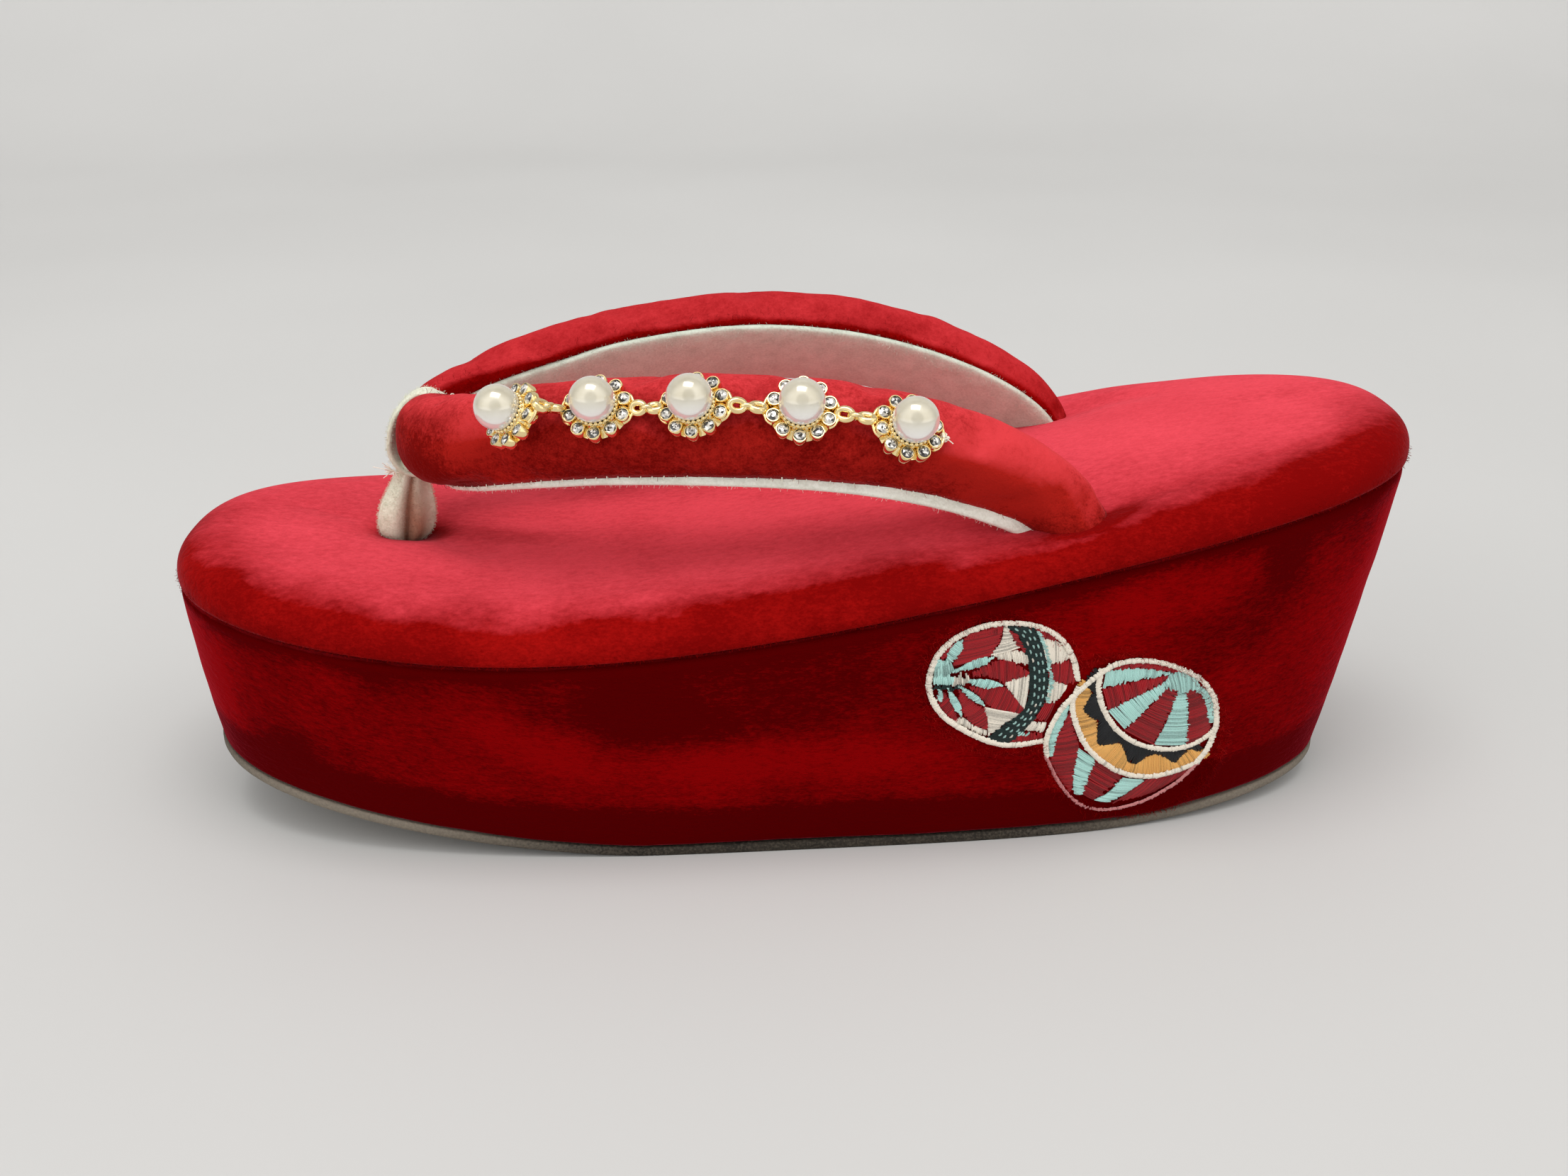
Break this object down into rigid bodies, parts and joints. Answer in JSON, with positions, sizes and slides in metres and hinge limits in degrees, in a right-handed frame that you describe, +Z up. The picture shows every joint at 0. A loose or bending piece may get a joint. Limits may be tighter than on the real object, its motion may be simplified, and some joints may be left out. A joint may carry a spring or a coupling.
{
  "type": "zori sandal",
  "caption": "Tall velvet platform sandal with a padded footbed, two thick padded thong bands, a cloth toe post and a chain of pearl rosettes on the outer band.",
  "frame": {"origin": "on the floor, under the middle of the sandal's box", "axes": "+X towards the heel, +Y towards the inner side of the foot, +Z up; the toe is at -X and the chain is on the -Y side"},
  "size_m": [0.2402, 0.0904, 0.0954],
  "materials": {
    "velvet": "crimson velvet, soft nap",
    "deep_velvet": "deep crimson velvet on the platform's wall",
    "cotton": "brushed cream cotton",
    "grey_rubber": "matt grey-brown sheet rubber",
    "gold": "polished gold plate set with clear crystals",
    "pearl": "pearl lustre"
  },
  "bodies": {
    "root": {"outsole": "grey_rubber", "platform": "deep_velvet", "footbed": "velvet", "strap": "velvet", "toe_post": "cotton", "rosette_1": "gold", "pearl_1": "pearl", "rosette_2": "gold", "pearl_2": "pearl", "rosette_3": "gold", "pearl_3": "pearl", "rosette_4": "gold", "pearl_4": "pearl", "rosette_5": "gold", "pearl_5": "pearl", "link_1": "gold", "link_2": "gold", "link_3": "gold", "link_4": "gold"}
  },
  "joints": []
}
